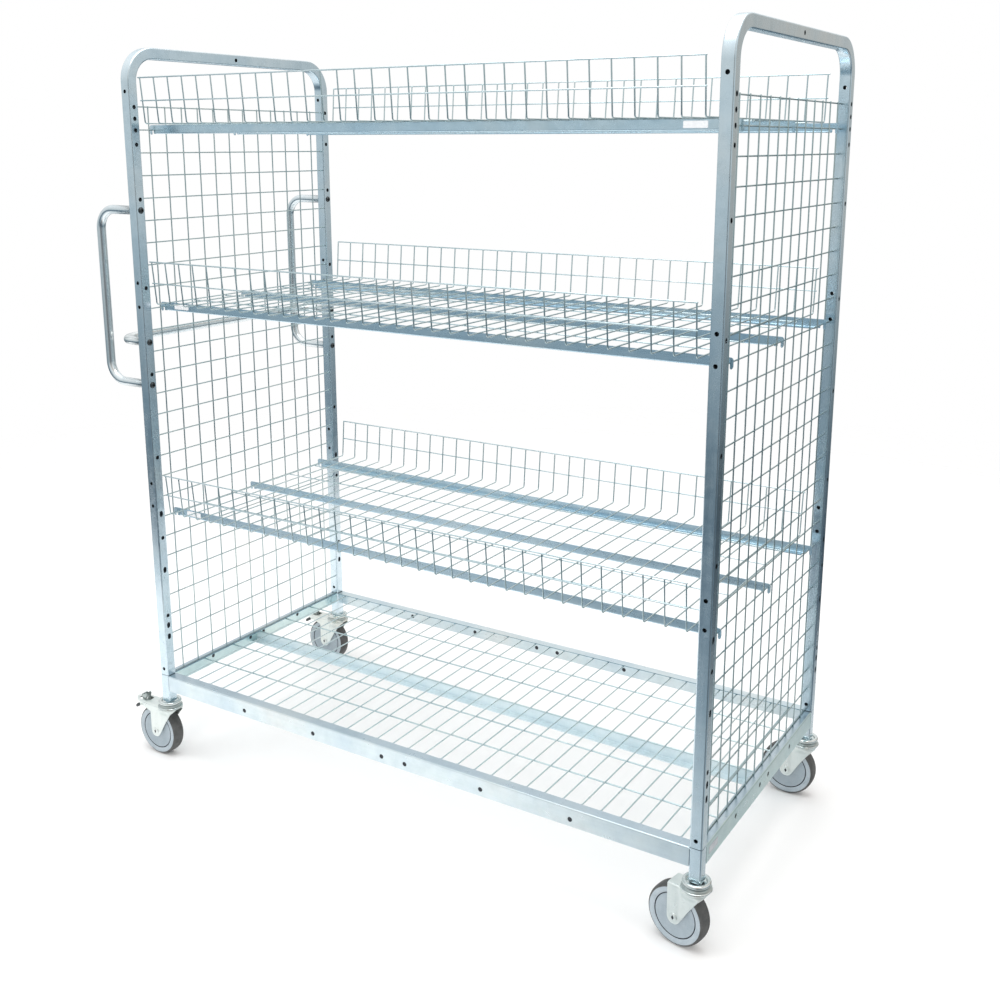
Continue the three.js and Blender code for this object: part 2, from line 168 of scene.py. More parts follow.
def rounded(width, height, radius, steps=3):
    """Rounded rectangle about the origin, counter-clockwise."""
    pts = []
    for qx, qy, a0 in ((1, 1, 0), (-1, 1, 90), (-1, -1, 180), (1, -1, 270)):
        cx, cy = qx * (width / 2 - radius), qy * (height / 2 - radius)
        for k in range(steps + 1):
            a = math.radians(a0 + 90 * k / steps)
            pts.append((cx + radius * math.cos(a), cy + radius * math.sin(a)))
    return pts


def loft(shape, rings, slot=0):
    """Skin over rings of equal count, closed by a face at each end."""
    n = len(rings[0])
    verts = [v for ring in rings for v in ring]
    faces = []
    for r in range(len(rings) - 1):
        a, b = r * n, (r + 1) * n
        faces += [(a + k, a + (k + 1) % n, b + (k + 1) % n, b + k) for k in range(n)]
    faces.append(tuple(reversed(range(n))))
    faces.append(tuple((len(rings) - 1) * n + k for k in range(n)))
    return shape.add(verts, faces, slot)


def sweep(shape, stations, section, side, slot=0):
    """section's first axis lies along side, which stays square to every tangent."""
    rings = []
    for p, t, s in stations:
        other = t.cross(side)
        rings.append([p + side * (a * s) + other * (b * s) for a, b in section])
    return loft(shape, rings, slot)


def wire(shape, corners, side, radius=WIRE_R, bend=0.0, finish=ROUND_END, slot=0):
    stations = ends(bent(corners, bend, 5), finish)
    return sweep(shape, stations, circle(radius, WIRE_SIDES), side, slot)


def tube(shape, stations, outer, inner, side):
    """Hollow section along a path, its two ends closed by rings; the inner skin is slot 1."""
    n = len(outer)
    rings = []
    for p, t, _ in stations:
        other = t.cross(side)
        rings.append([p + side * a + other * b for a, b in outer])
    back = []
    for p, t, _ in reversed(stations):
        other = t.cross(side)
        back.append([p + side * a + other * b for a, b in inner])
    rings += back
    shape.add([v for ring in rings for v in ring], [])
    for r in range(len(rings)):
        a, b = r * n, ((r + 1) % len(rings)) * n
        faces = [(a + k, a + (k + 1) % n, b + (k + 1) % n, b + k) for k in range(n)]
        inside = len(stations) <= r < len(rings) - 1
        shape.faces += faces
        shape.slots += [1 if inside else 0] * n
    return shape


def prism(shape, outline, plane, start, length, slot=0):
    """outline in the plane (two axes), pushed along the third from start by length."""
    place = {
        "yz": lambda a, b, c: (c, a, b),
        "xz": lambda a, b, c: (a, c, b),
        "xy": lambda a, b, c: (a, b, c),
    }[plane]
    rings = [[place(a, b, c) for a, b in outline] for c in (start, start + length)]
    return loft(shape, rings, slot)


def drill(shape, at, axis, radius, length, long=0.0, slot=0):
    """A cutter: round, or a slot when long is given (extra length along Z)."""
    pts = []
    for a, b in circle(radius, DRILL_SIDES):
        pts.append((a, b + math.copysign(long / 2, b) if long else b))
    mid = Vector(at)
    u, v = {"x": (Y, Z), "y": (X, Z), "z": (X, Y)}[axis]
    w = {"x": X, "y": Y, "z": Z}[axis]
    rings = [[mid + w * d + u * a + v * b for a, b in pts] for d in (-length / 2, length / 2)]
    return loft(shape, rings, slot)


def lathe(profile, segments, axis="z", slot_of=None):
    """(radius, height) pairs turned about an axis through the origin."""
    shape = Shape()
    u, v, w = {"z": (X, Y, Z), "y": (Z, X, Y), "x": (Y, Z, X)}[axis]
    n = segments
    verts = []
    for r, h in profile:
        for k in range(n):
            a = 2 * math.pi * k / n
            verts.append(w * h + u * (r * math.cos(a)) + v * (r * math.sin(a)))
    for i in range(len(profile) - 1):
        a, b = i * n, (i + 1) * n
        faces = [(a + k, a + (k + 1) % n, b + (k + 1) % n, b + k) for k in range(n)]
        shape.faces += faces
        shape.slots += [slot_of(i) if slot_of else 0] * n
    shape.verts = verts
    if profile[0][0] > 0 and profile[0] != profile[-1]:
        shape.faces.append(tuple(reversed(range(n))))
        shape.slots.append(slot_of(0) if slot_of else 0)
    if profile[-1][0] > 0 and profile[0] != profile[-1]:
        shape.faces.append(tuple((len(profile) - 1) * n + k for k in range(n)))
        shape.slots.append(slot_of(len(profile) - 2) if slot_of else 0)
    return shape


def grid(rows, cols, point):
    """A sheet of quads; point(v, u) gives each corner, both from 0 to 1."""
    verts = [point(r / (rows - 1), c / (cols - 1)) for r in range(rows) for c in range(cols)]
    faces = []
    for r in range(rows - 1):
        for c in range(cols - 1):
            a = r * cols + c
            faces.append((a, a + 1, a + cols + 1, a + cols))
    return Shape().add(verts, faces)


def step(x, lo, hi):
    """Smooth rise from 0 at lo to 1 at hi."""
    t = min(1.0, max(0.0, (x - lo) / (hi - lo)))
    return t * t * (3 - 2 * t)


WELD_DIST, SLIVER_DIST = 2e-6, 1e-6  # metres


def to_mesh(name, shape):
    mesh = bpy.data.meshes.new(name)
    verts = [tuple(v / MM + ORIGIN) for v in shape.verts]
    mesh.from_pydata(verts, [], shape.faces)
    for poly, slot in zip(mesh.polygons, shape.slots):
        poly.material_index = slot
    work = bmesh.new()
    work.from_mesh(mesh)
    bmesh.ops.remove_doubles(work, verts=work.verts, dist=WELD_DIST)
    bmesh.ops.dissolve_degenerate(work, edges=work.edges, dist=SLIVER_DIST)
    bmesh.ops.recalc_face_normals(work, faces=work.faces)
    work.to_mesh(mesh)
    work.free()
    return mesh


def to_object(name, shape):
    obj = bpy.data.objects.new(name, to_mesh(name, shape))
    bpy.context.scene.collection.objects.link(obj)
    return obj


def bake(obj):
    """Applies every modifier of the object."""
    graph = bpy.context.evaluated_depsgraph_get()
    old = obj.data
    obj.data = bpy.data.meshes.new_from_object(obj.evaluated_get(graph))
    obj.modifiers.clear()
    bpy.data.meshes.remove(old)
    return obj


def boolean(obj, shape):
    """Cuts the shape out of the object."""
    cutter = to_object("cutter", shape)
    mod = obj.modifiers.new("cut", "BOOLEAN")
    mod.operation = "DIFFERENCE"
    mod.object = cutter
    mod.solver = "EXACT"
    bake(obj)
    bpy.data.objects.remove(cutter)
    return obj


def modify(obj, kind, **settings):
    mod = obj.modifiers.new(kind.lower(), kind)
    for key, value in settings.items():
        setattr(mod, key, value)
    return bake(obj)


def merge(*objs):
    """The objects' meshes as one Shape; the objects themselves go."""
    joined = Shape()
    for part in objs:
        verts = [(v.co - ORIGIN) * MM for v in part.data.vertices]
        start = len(joined.verts)
        joined.verts += verts
        joined.faces += [tuple(i + start for i in p.vertices) for p in part.data.polygons]
        joined.slots += [p.material_index for p in part.data.polygons]
        bpy.data.objects.remove(part)
    return joined


def make(name, shape, nodes, body, mats, cut=None, bevel=0.0, sharp=38, weighted=False):
    """One visible piece that stands for its CAD nodes and rides on their body."""
    obj = shape if isinstance(shape, bpy.types.Object) else to_object(name, shape)
    if cut:
        boolean(obj, cut)
    if bevel:
        modify(
            obj,
            "BEVEL",
            width=bevel / MM,
            segments=2,
            limit_method="ANGLE",
            angle_limit=math.radians(40),
            harden_normals=False,
        )
    obj.name = name
    obj.data.name = name
    # clearing the materials would reset each face's number, so the numbers are put back
    numbers = [p.material_index for p in obj.data.polygons]
    obj.data.materials.clear()
    for mat in mats:
        obj.data.materials.append(mat)
    obj.data.polygons.foreach_set("material_index", numbers)
    obj.data.shade_smooth()
    obj.data.set_sharp_from_angle(angle=math.radians(sharp))
    if weighted:
        mod = obj.modifiers.new("weighted", "WEIGHTED_NORMAL")
        mod.keep_sharp = True
        bake(obj)
    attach(obj, body)
    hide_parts(*nodes)


# ---------------------------------------------------------------- materials
def material(name):
    mat = bpy.data.materials.new(name)
    mat.use_nodes = True
    return mat, mat.node_tree, mat.node_tree.nodes["Principled BSDF"]


def node(tree, kind, inputs=None, **settings):
    made = tree.nodes.new(kind)
    for key, value in settings.items():
        setattr(made, key, value)
    for key, value in (inputs or {}).items():
        socket = made.inputs[key]
        if isinstance(value, bpy.types.NodeSocket):
            tree.links.new(value, socket)
        else:
            socket.default_value = value
    return made


def ramp(tree, source, stops):
    made = node(tree, "ShaderNodeValToRGB", {"Fac": source})
    line = made.color_ramp
    while len(line.elements) < len(stops):
        line.elements.new(0.5)
    for element, (at, colour) in zip(line.elements, stops):
        element.position = at
        element.color = (*colour, 1.0)
    return made.outputs["Color"]


def noise(tree, vector, scale, detail=3.0, rough=0.5):
    return node(
        tree,
        "ShaderNodeTexNoise",
        {"Vector": vector, "Scale": scale, "Detail": detail, "Roughness": rough},
    ).outputs["Fac"]


def stretched(tree, vector, scale):
    return node(tree, "ShaderNodeMapping", {"Vector": vector, "Scale": scale}).outputs["Vector"]


def calc(tree, operation, a, b, clamp=False):
    made = node(tree, "ShaderNodeMath", {0: a, 1: b}, operation=operation, use_clamp=clamp)
    return made.outputs[0]


def spread(tree, value, lo, hi, to_lo, to_hi):
    """Maps lo..hi to to_lo..to_hi, clamped."""
    made = node(
        tree,
        "ShaderNodeMapRange",
        {"Value": value, "From Min": lo, "From Max": hi, "To Min": to_lo, "To Max": to_hi},
    )
    return made.outputs["Result"]


def blend(tree, factor, a, b, mode="MIX"):
    made = node(tree, "ShaderNodeMix", data_type="RGBA", blend_type=mode)
    # a colour mix has its factor at input 0 and its two colours at 6 and 7, its result at 2
    for socket, value in ((made.inputs[0], factor), (made.inputs[6], a), (made.inputs[7], b)):
        if isinstance(value, bpy.types.NodeSocket):
            tree.links.new(value, socket)
        elif isinstance(value, tuple):
            socket.default_value = (*value, 1.0)
        else:
            socket.default_value = value
    return made.outputs[2]


def bumped(tree, shader, height, distance, strength=1.0):
    made = node(
        tree, "ShaderNodeBump", {"Height": height, "Distance": distance, "Strength": strength}
    )
    tree.links.new(made.outputs["Normal"], shader.inputs["Normal"])


def zinc(name, cool, pale, warm, rough, run, metallic=1.0, bump=0.00003):
    """Bright zinc plating: cloudy tint, drawing streaks along the run, a fine grain."""
    mat, tree, shader = material(name)
    place = node(tree, "ShaderNodeTexCoord").outputs["Object"]
    cloud = noise(tree, place, 5.5, 4.0, 0.6)
    tint = ramp(tree, cloud, [(0.30, cool), (0.52, pale), (0.72, warm)])
    along = {"x": (5, 90, 90), "y": (90, 5, 90), "z": (90, 90, 5)}[run]
    streak = noise(tree, stretched(tree, place, along), 1.0, 5.0, 0.65)
    grain = noise(tree, place, 620.0, 2.0, 0.5)
    bloom = noise(tree, place, 38.0, 5.0, 0.7)
    shade = ramp(tree, streak, [(0.25, (0.86, 0.88, 0.89)), (0.60, (1.0, 1.0, 1.0))])
    tint = blend(tree, 0.5, tint, shade, "MULTIPLY")
    dull = ramp(tree, bloom, [(0.34, (0.90, 0.92, 0.92)), (0.55, (1.0, 1.0, 1.0))])
    tint = blend(tree, 0.6, tint, dull, "MULTIPLY")
    tree.links.new(tint, shader.inputs["Base Color"])
    a = spread(tree, streak, 0.3, 0.7, rough - 0.03, rough + 0.05)
    b = spread(tree, bloom, 0.35, 0.65, 0.05, -0.03)
    tree.links.new(calc(tree, "ADD", a, b, clamp=True), shader.inputs["Roughness"])
    shader.inputs["Metallic"].default_value = metallic
    both = calc(tree, "ADD", calc(tree, "MULTIPLY", streak, 1.6), grain)
    bumped(tree, shader, both, bump)
    return mat


def plastic(name, colour, deep, rough, speck=900.0, bump=0.0001):
    """Moulded wheel plastic or rubber: a soft mottling and a fine moulded grain."""
    mat, tree, shader = material(name)
    place = node(tree, "ShaderNodeTexCoord").outputs["Object"]
    patch = noise(tree, place, 45.0, 4.0, 0.6)
    dust = noise(tree, place, speck, 2.0, 0.5)
    tint = ramp(tree, patch, [(0.34, deep), (0.62, colour)])
    fleck = ramp(tree, dust, [(0.36, (0.86, 0.86, 0.87)), (0.56, (1.0, 1.0, 1.0))])
    tree.links.new(blend(tree, 0.9, tint, fleck, "MULTIPLY"), shader.inputs["Base Color"])
    tree.links.new(spread(tree, patch, 0.3, 0.7, rough + 0.08, rough - 0.06), shader.inputs["Roughness"])
    bumped(tree, shader, dust, bump, 0.6)
    return mat


# each finish: its cool, pale and warm tints, roughness, drawing direction, metallic, bump
post_zinc = zinc(
    "post_zinc", (0.60, 0.73, 0.81), (0.70, 0.81, 0.87), (0.78, 0.83, 0.84), 0.22, "z",
    bump=0.000014,
)
rail_zinc = zinc("rail_zinc", (0.60, 0.71, 0.78), (0.71, 0.80, 0.83), (0.75, 0.79, 0.79), 0.30, "x")
end_zinc = zinc("end_rail_zinc", (0.56, 0.72, 0.74), (0.66, 0.81, 0.81), (0.72, 0.82, 0.79), 0.30, "y")
# painted shade: a darker bluish copy of the rail zinc for the rails' upward faces
top_face_shade_zinc = zinc("top_face_shade_zinc", (0.46, 0.56, 0.63), (0.55, 0.64, 0.70), (0.60, 0.67, 0.70), 0.30, "x")
# painted shadow: a dark bluish line along the inner edge of each rail's flange, also used for the weld
# beads where the deck's ribs meet that edge
shadow_line_zinc = zinc("painted_shadow_line_zinc", (0.20, 0.33, 0.40), (0.27, 0.41, 0.48), (0.34, 0.46, 0.50), 0.32, "x")
# painted light: a paler, less metallic zinc so the stiffener under the deck and shelves reads brightly lit
stiffener_lit_zinc = zinc(
    "stiffener_painted_light_zinc", (0.66, 0.78, 0.83), (0.73, 0.84, 0.88), (0.78, 0.85, 0.87), 0.42, "x", 0.45
)
mesh_zinc = zinc("mesh_zinc", (0.38, 0.49, 0.51), (0.48, 0.58, 0.59), (0.57, 0.62, 0.60), 0.28, "z")
deck_zinc = zinc("deck_zinc", (0.48, 0.60, 0.63), (0.58, 0.70, 0.72), (0.68, 0.75, 0.74), 0.30, "y")
bar_zinc = zinc("bar_zinc", (0.50, 0.68, 0.80), (0.60, 0.76, 0.85), (0.70, 0.81, 0.85), 0.27, "x")
wire_zinc = zinc("wire_zinc", (0.45, 0.57, 0.60), (0.56, 0.68, 0.70), (0.66, 0.73, 0.74), 0.27, "z")
long_zinc = zinc("long_wire_zinc", (0.50, 0.62, 0.65), (0.61, 0.72, 0.75), (0.71, 0.78, 0.80), 0.28, "x")
tube_zinc = zinc("tube_zinc", (0.70, 0.78, 0.82), (0.80, 0.85, 0.87), (0.84, 0.85, 0.84), 0.20, "z")
fork_zinc = zinc("fork_zinc", (0.66, 0.73, 0.72), (0.76, 0.81, 0.79), (0.80, 0.80, 0.74), 0.30, "z", 0.8)
cup_zinc = zinc("cup_zinc", (0.58, 0.64, 0.64), (0.72, 0.76, 0.75), (0.80, 0.79, 0.72), 0.11, "z")
bolt_black = zinc(
    "bolt_black", (0.045, 0.052, 0.056), (0.060, 0.068, 0.072), (0.080, 0.086, 0.086),
    0.34, "x", 0.8,
)
lever_zinc = zinc("lever_zinc", (0.36, 0.41, 0.41), (0.46, 0.51, 0.50), (0.55, 0.57, 0.54), 0.30, "x", 0.9)
wheel_grey = plastic("wheel_grey", (0.34, 0.40, 0.44), (0.30, 0.36, 0.40), 0.42)
ring_grey = plastic("ring_grey", (0.41, 0.47, 0.51), (0.34, 0.40, 0.44), 0.38)
# painted shade: near-black for the insides of the square tubes, which shows through their holes, and for
# the spigot in the gap at each leg joint
bore_painted_shade = plastic("bore_painted_shade", (0.105, 0.130, 0.150), (0.070, 0.090, 0.105), 0.5)
# painted shade: near-black for the grooves between hub and tyre, the diamonds on the axle rivet's ends and
# the discs behind the rails' holes
groove_painted_shade = plastic("groove_painted_shade", (0.020, 0.024, 0.032), (0.014, 0.017, 0.024), 0.5)
tread_grey = plastic("tread_grey", (0.092, 0.094, 0.092), (0.060, 0.062, 0.062), 0.62, 500.0, 0.0003)
label_white = plastic("label_white", (0.91, 0.91, 0.92), (0.88, 0.88, 0.89), 0.45, 1400.0, 0.00002)
plate_grey = plastic("plate_grey", (0.50, 0.53, 0.56), (0.42, 0.45, 0.48), 0.35, 1400.0, 0.00002)

# ---------------------------------------------------------------- gable frames
FRONT_HOLES = (235, 652, 707, 1126, 1181, 1602)
SIDE_HOLES = (373, 571, 770, 969, 1169, 1368, 1488, 1519, 1544, 1569)
SIDE_SLOTS = (319, 348, 490, 631)
HOLE_R, SIDE_HOLE_R = 4.2, 4.8
SLOT_LONG = 5.0  # a slot's length beyond a round hole
TOP_HOLE_R, TOP_PIN_R = 4.4, 2.6  # in the middle of the top tube, level and upright
THROUGH = POST + 8  # a cutter that goes right through a post
outer = rounded(POST, POST, 3.2, 4)
inner = rounded(POST - 2 * WALL, POST - 2 * WALL, 1.4, 4)
for side in ("left", "right"):
    x = POST_X[side]
    mid = TOP - HALF
    corners = [
        (x, POST_Y["front"], RAIL_TOP + JOINT),
        (x, POST_Y["front"], mid),
        (x, POST_Y["rear"], mid),
        (x, POST_Y["rear"], RAIL_TOP + JOINT),
    ]
    arch = tube(Shape(), bent(corners, BEND, 14), outer, inner, X)
    holes = Shape()
    for y in POST_Y.values():
        for z in FRONT_HOLES:
            drill(holes, (x, y, z), "y", HOLE_R, THROUGH)
        for z in SIDE_HOLES:
            drill(holes, (x, y, z), "x", SIDE_HOLE_R, THROUGH)
        for z in SIDE_SLOTS:
            drill(holes, (x, y, z), "x", SIDE_HOLE_R, THROUGH, long=SLOT_LONG)
    drill(holes, (x, DEPTH / 2, mid), "x", TOP_HOLE_R, THROUGH)
    drill(holes, (x, DEPTH / 2, mid + 6), "z", TOP_PIN_R, POST)
    # the tube's inner skin is drawn in painted shade, so its holes read dark
    make(
        f"{side}_gable_frame_tube", arch, [f"{side}_gable_frame"], "trolley",
        [post_zinc, bore_painted_shade], cut=holes, weighted=True,
    )

# ---------------------------------------------------------------- gable meshes
LEVELS = [RAIL_TOP + 2 + PITCH * k for k in range(28)]
UPRIGHTS = [DEPTH / 2 + (k - 5.5) * PITCH for k in range(12)]
SEAT = 2.75  # between the centres of two crossing wires, pressed together at the weld
for side in ("left", "right"):
    out = -1 if side == "left" else 1
    x = POST_X[side] - out * MESH_IN
    mesh = Shape()
    for z in LEVELS:
        wire(mesh, [(x, POST, z), (x, DEPTH - POST, z)], X, finish=WELD_END)
    for y in UPRIGHTS:
        foot, head = (x + out * SEAT, y, LEVELS[0] - 2), (x + out * SEAT, y, LEVELS[-1] + 3)
        wire(mesh, [foot, head], X)
    make(f"{side}_gable_wires", mesh, [f"{side}_gable_mesh"], "trolley", [mesh_zinc])

# ---------------------------------------------------------------- base frame
ANGLE_BEND = 3.0  # outer radius of an angle's bend


def angle(outer_at, inward, flange, bottom, top, flange_at="top"):
    """Section of a bent angle in (across, height), closed, with a round outer bend."""
    s, bend, sheet = inward, ANGLE_BEND, SHEET
    if flange_at == "bottom":
        pts = angle(0.0, 1, flange, 0.0, top - bottom)
        return [(outer_at + s * a, top - b) for a, b in pts]
    pts = [(outer_at, bottom), (outer_at, top - bend)]
    for k in range(1, 6):
        a = math.radians(90 * k / 5)
        pts.append((outer_at + s * bend * (1 - math.cos(a)), top - bend + bend * math.sin(a)))
    pts += [(outer_at + s * flange, top), (outer_at + s * flange, top - sheet)]
    small = bend - sheet
    for k in range(4):
        a = math.radians(90 - 90 * k / 3)
        pts.append(
            (outer_at + s * (bend - small * math.cos(a)), top - bend + small * math.sin(a))
        )
    pts.append((outer_at + s * sheet, bottom))
    return pts


FLANGE, SIDE_FLANGE = 25.0, 21.0
RAIL_HOLE_R = 5.2
RAIL_HOLES_X = (264, 473, 667, 729, 922, 1132)
RAIL_HOLES_Y = (174, 311, 361, 498)
LONG_HOLE_Z, END_HOLE_Z = 194, 201
CLEAR = 0.3
RAIL_X = (HALF + CLEAR, SPAN - HALF - CLEAR)
RAIL_Y = (POST + CLEAR, DEPTH - POST - CLEAR)
# a rail's extra slots: its tag plate, the painted shade behind its holes, painted shade on its upward
# faces and the painted shadow line on its inner edge
PLATE_SLOT, HOLE_SHADE_SLOT, TOP_FACE_SHADE_SLOT, SHADOW_LINE_SLOT = 1, 2, 3, 4  # a rail's materials after its own
BEAD_R, BEAD_PITCH = 1.5, 2.2


def seam(shape, foot, head, side):
    """A run of weld beads between two points."""
    foot, head = Vector(foot), Vector(head)
    run = (head - foot).normalized()
    count = max(2, int((head - foot).length / BEAD_PITCH))
    stations = []
    for k in range(count * 2 + 1):
        swell = 1.0 if k % 2 else 0.72
        if k in (0, count * 2):
            swell = 0.3
        stations.append((foot.lerp(head, k / (count * 2)), run, swell))
    return sweep(shape, stations, circle(BEAD_R, 8), side)


def rail_piece(where, section, plane, run, holes, seams, side, mats, extra, top_face_shade=TOP_FACE_SHADE_SLOT):
    """A holed angle with weld seams at its ends and a disc of painted shade behind each hole; its flange's
    inner edge gets a painted shadow line and its upward faces the top-face material, painted shade unless
    a rail keeps its plain zinc.
    """
    rail = to_object("rail", prism(Shape(), section, plane, run[0], run[1] - run[0]))
    cutters = Shape()
    for at, axis, inward in holes:
        drill(cutters, at, axis, RAIL_HOLE_R, 12)
        # a thin disc of painted shade just behind each hole
        spot = Vector(at)
        spot[0 if axis == "x" else 1] += inward * 1.3
        drill(extra, spot, axis, RAIL_HOLE_R + CLEAR, 0.8, slot=HOLE_SHADE_SLOT)
    boolean(rail, cutters)
    # the flange's inner edge gets the painted shadow line, and the upward faces get the top-face material,
    # which is painted shade
    tip = {"yz": 1, "xz": 0}[plane]
    reach = max(p.center[tip] * inward for p in rail.data.polygons)
    for p in rail.data.polygons:
        if p.normal[tip] * inward > 0.9 and p.center[tip] * inward > reach - 1e-4:
            p.material_index = SHADOW_LINE_SLOT
        elif p.normal.z > 0.9:
            p.material_index = top_face_shade
    for foot, head in seams:
        seam(extra, foot, head, side)
    make(
        f"{where}_rail_angle", merge(rail, to_object("extra", extra)), [f"{where}_rail"],
        "trolley", mats, weighted=True,
    )


for where, face, inward in (("front", 0.0, 1), ("rear", DEPTH, -1)):
    weld_y = face + inward * 0.4
    rail_piece(
        where,
        angle(face, inward, FLANGE, RAIL_BOTTOM, RAIL_TOP),
        "yz",
        RAIL_X,
        [((hx, face, LONG_HOLE_Z), "y", inward) for hx in RAIL_HOLES_X],
        [((rx, weld_y, RAIL_BOTTOM + 1), (rx, weld_y, RAIL_TOP - 2)) for rx in RAIL_X],
        X,
        [rail_zinc, plate_grey, groove_painted_shade, top_face_shade_zinc, shadow_line_zinc],
        Shape(),
        # the rear rail's upward faces keep the plain rail zinc, without painted shade
        top_face_shade=TOP_FACE_SHADE_SLOT if where == "front" else 0,
    )

for where, face, inward in (("left", -HALF, 1), ("right", SPAN + HALF, -1)):
    weld_x = face + inward * 0.4
    extra = Shape()
    if where == "right":
        tag = [(a + 58, b + 200) for a, b in rounded(44, 15, 2.0)]
        prism(extra, tag, "yz", face, 0.5, slot=PLATE_SLOT)
    rail_piece(
        where,
        angle(face, inward, SIDE_FLANGE, RAIL_BOTTOM, RAIL_TOP),
        "xz",
        RAIL_Y,
        [((face, hy, END_HOLE_Z), "x", inward) for hy in RAIL_HOLES_Y],
        [((weld_x, ry, RAIL_BOTTOM + 1), (weld_x, ry, RAIL_TOP - 2)) for ry in RAIL_Y],
        Y,
        [end_zinc, plate_grey, groove_painted_shade, top_face_shade_zinc, shadow_line_zinc],
        extra,
    )

# ---------------------------------------------------------------- deck
ribs = [SPAN / 2 + (k - (RIBS - 1) / 2) * RIB_PITCH for k in range(RIBS)]
deck_z = RAIL_TOP - SHEET - WIRE_R
long_z = deck_z - 3.0
LONG_R = 1.75
DECK_PAST = 9.5  # long wires past the posts' centres
DECK_BEAD = [(0, -1.6), (1.7, -1.2), (2.3, 0.0), (1.7, 1.2), (0, 1.6)]
deck = Shape()
for x in ribs:
    wire(deck, [(x, 4, deck_z), (x, DEPTH - 4, deck_z)], X)
    # weld beads where each rib meets a flange's edge, drawn in the painted shadow zinc
    for y in (FLANGE + 0.4, DEPTH - FLANGE - 0.4):
        bead = lathe(DECK_BEAD, 10, "x", lambda i: 1)
        deck.join(bead, Matrix.Translation((x, y, deck_z + 1.3)))
for y in LONG_Y:
    wire(deck, [(-DECK_PAST, y, long_z), (SPAN + DECK_PAST, y, long_z)], Y, radius=LONG_R)
make("deck_wires", deck, ["deck_mesh"], "trolley", [deck_zinc, shadow_line_zinc])

STIFF_W, STIFF_H = 20.0, 24
stiff_top = long_z - 1.7
section = angle(DEPTH / 2 + 1, -1, STIFF_W, stiff_top - STIFF_H, stiff_top, flange_at="bottom")
stiffener = prism(Shape(), section, "yz", -DECK_PAST, SPAN + 2 * DECK_PAST)
make(
    "deck_stiffener_angle", stiffener, ["deck_stiffener"], "trolley", [stiffener_lit_zinc],
    weighted=True,
)

# ---------------------------------------------------------------- shelves
LABEL_THICK = 0.35
BAR_END = 14.0  # the flange stops this far from the posts' centres
BAR_FLANGE = 19.0
WEB_AT = -1.0  # the web's front face from the bar's middle


def hook(wire_z, x, s):
    """End of a bar web: it passes over the gable wire and curls down behind it."""
    lo, hi = wire_z - BAR_DOWN, wire_z + BAR_UP
    roof = wire_z + WIRE_R + 0.3
    pts = [(BAR_END, lo), (MESH_IN + 4.0, lo), (MESH_IN + 3.0, lo + 1.5)]
    for k in range(7):
        a = math.pi * k / 6
        pts.append((MESH_IN + 3.0 * math.cos(a), roof - 3.0 + 3.0 * math.sin(a)))
    pts += [(MESH_IN - 3.0, lo + 1.0), (MESH_IN - 4.0, lo - 1.5), (MESH_IN - 6.0, lo - 2.0)]
    pts += [(MESH_IN - 8.0, lo), (MESH_IN - 9.0, lo + 3.0)]
    for k in range(5):
        a = math.radians(180 - 90 * k / 4)
        pts.append((MESH_IN - 4.0 + 5.0 * math.cos(a), hi - 5.0 + 5.0 * math.sin(a)))
    pts.append((BAR_END, hi))
    return [(x + s * a, b) for a, b in pts]


def label(shape, x, y, z):
    """A blank label on the front face of a bar."""
    outline = [(x + a, z + b) for a, b in rounded(45.0, 12.0, 1.0)]
    prism(shape, outline, "xz", y - LABEL_THICK, LABEL_THICK, slot=1)


LABELS = {("upper", "front"): SPAN - 80.0, ("middle", "front"): 62.0, ("lower", "front"): 62.0}
for level, wire_z in SHELVES.items():
    body = f"{level}_shelf"
    z = wire_z + FLOOR_UP
    top = z + FENCE_H
    foot = (FENCE_FOOT, DEPTH - FENCE_FOOT)
    head = (FENCE_FOOT - FENCE_LEAN, DEPTH - FENCE_FOOT + FENCE_LEAN)
    basket = Shape()
    for x in ribs:
        corners = [
            (x, head[0], top + 0.5), (x, foot[0], z), (x, foot[1], z), (x, head[1], top + 0.5),
        ]
        wire(basket, corners, X, bend=5.0)
    x0, x1 = ribs[0] - 3.5, ribs[-1] + 3.5
    for k, s in ((0, -1), (1, 1)):
        run = head[k] + s * 2.6
        wire(basket, [(x0, run, top), (x1, run, top)], Y, radius=1.6, slot=1)
        mid = (head[k] + foot[k]) / 2 + s * 2.7
        wire(basket, [(x0, mid, z + FENCE_H / 2), (x1, mid, z + FENCE_H / 2)], Y, slot=1)
    for y in LONG_Y:
        if abs(y - DEPTH / 2) > 1:
            wire(basket, [(x0, y, z - 2.7), (x1, y, z - 2.7)], Y, slot=1)
    mats = [wire_zinc, long_zinc]
    make(f"{level}_basket_wires", basket, [f"{level}_basket"], body, mats)
    for where, y in BAR_Y.items():
        inward = -1 if where == "rear" else 1
        lo, hi = wire_z - BAR_DOWN, wire_z + BAR_UP
        section = angle(y - inward, inward, BAR_FLANGE, lo, hi, flange_at="bottom")
        bar = prism(Shape(), section, "yz", BAR_END, SPAN - 2 * BAR_END)
        prism(bar, hook(wire_z, 0.0, 1), "xz", y + WEB_AT, SHEET)
        prism(bar, hook(wire_z, SPAN, -1), "xz", y + WEB_AT, SHEET)
        if (level, where) in LABELS:
            label(bar, LABELS[level, where], y + WEB_AT, wire_z + 2.5)
        make(
            f"{level}_{where}_bar_angle", bar, [f"{level}_{where}_bar"], body,
            [bar_zinc, label_white], weighted=True,
        )

